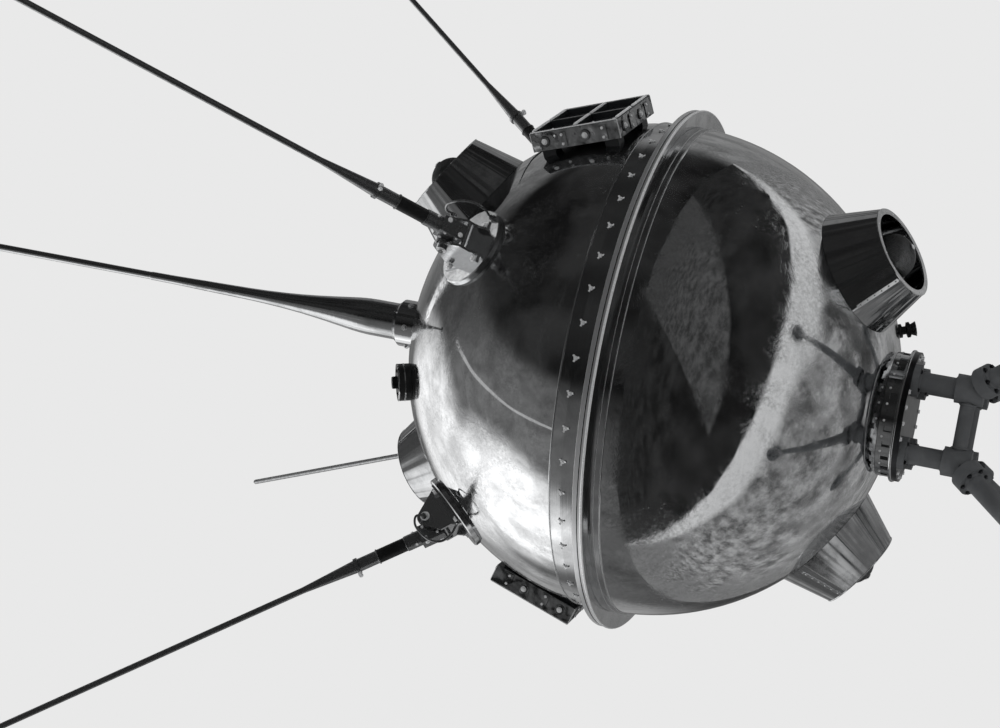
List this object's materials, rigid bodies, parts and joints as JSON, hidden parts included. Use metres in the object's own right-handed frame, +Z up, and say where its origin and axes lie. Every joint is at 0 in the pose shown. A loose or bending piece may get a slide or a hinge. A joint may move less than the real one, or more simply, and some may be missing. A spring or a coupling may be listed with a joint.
{
  "type": "spherical space probe on a display stand",
  "caption": "Polished spherical space probe with a magnetometer boom, folding whip antennas, ion traps and impact sensors, on a four-legged tubular display stand.",
  "frame": {"origin": "middle of the footprint on the floor, under the sphere's centre", "axes": "+Z up along the polar axis and the boom"},
  "size_m": [2.706, 2.7251, 3.89],
  "materials": {
    "polished_shell": "mirror polish, hazed and stained",
    "frame_metal": "turned and polished",
    "gasket_rubber": "matt",
    "instrument_case": "matt",
    "boom_metal": "satin",
    "bracket_metal": "bright polish",
    "whip_metal": "dull drawn metal",
    "black_insulator": "matt black",
    "trap_metal": "polished",
    "grid_metal": "fine wire mesh",
    "sensor_enamel": "black with bright edges",
    "connector_black": "black",
    "dark_plate": "dark oxide",
    "grey_paint": "matt grey paint"
  },
  "bodies": {
    "probe": {"upper_half_shell": "polished_shell", "lower_half_shell": "polished_shell", "upper_frame_ring": "frame_metal", "lower_frame_ring": "frame_metal", "boom_socket": "frame_metal", "aft_ring": "frame_metal", "instrument_deck": "frame_metal", "frame_gasket": "gasket_rubber", "instrument_block": "instrument_case", "magnetometer_boom": "boom_metal", "magnetometer_sensor": "boom_metal", "antenna_base_1": "bracket_metal", "ion_trap_shroud_1": "trap_metal", "ion_trap_grid_1": "grid_metal", "stand_leg_1": "grey_paint", "antenna_base_2": "bracket_metal", "ion_trap_shroud_2": "trap_metal", "ion_trap_grid_2": "grid_metal", "stand_leg_2": "grey_paint", "antenna_base_3": "bracket_metal", "ion_trap_shroud_3": "trap_metal", "ion_trap_grid_3": "grid_metal", "stand_leg_3": "grey_paint", "antenna_base_4": "bracket_metal", "ion_trap_shroud_4": "trap_metal", "ion_trap_grid_4": "grid_metal", "stand_leg_4": "grey_paint", "impact_sensor_1": "sensor_enamel", "impact_sensor_2": "sensor_enamel", "forward_connector": "connector_black", "aft_connector": "connector_black", "aft_plate": "dark_plate", "stand_posts": "grey_paint", "stand_head_frame": "grey_paint", "stand_foot_pads": "grey_paint"},
    "antenna_1": {"antenna_foot_1": "whip_metal", "antenna_sleeve_1": "black_insulator", "antenna_rod_1": "whip_metal"},
    "antenna_2": {"antenna_foot_2": "whip_metal", "antenna_sleeve_2": "black_insulator", "antenna_rod_2": "whip_metal"},
    "antenna_3": {"antenna_foot_3": "whip_metal", "antenna_sleeve_3": "black_insulator", "antenna_rod_3": "whip_metal"},
    "antenna_4": {"antenna_foot_4": "whip_metal", "antenna_sleeve_4": "black_insulator", "antenna_rod_4": "whip_metal"}
  },
  "joints": [
    {"name": "antenna_fold_1", "type": "hinge", "parent": "probe", "child": "antenna_1", "pos_m": [0.21209, -0.46973, 1.92308], "axis": [-0.9114, -0.4115, 0], "range_deg": [0, 50]},
    {"name": "antenna_fold_2", "type": "hinge", "parent": "probe", "child": "antenna_2", "pos_m": [0.46736, 0.21102, 1.92399], "axis": [0.4115, -0.9114, 0], "range_deg": [0, 50]},
    {"name": "antenna_fold_3", "type": "hinge", "parent": "probe", "child": "antenna_3", "pos_m": [-0.21075, 0.46677, 1.92421], "axis": [0.9114, 0.4115, 0], "range_deg": [0, 50]},
    {"name": "antenna_fold_4", "type": "hinge", "parent": "probe", "child": "antenna_4", "pos_m": [-0.46796, -0.21129, 1.92377], "axis": [-0.4115, 0.9114, 0], "range_deg": [0, 50]}
  ]
}
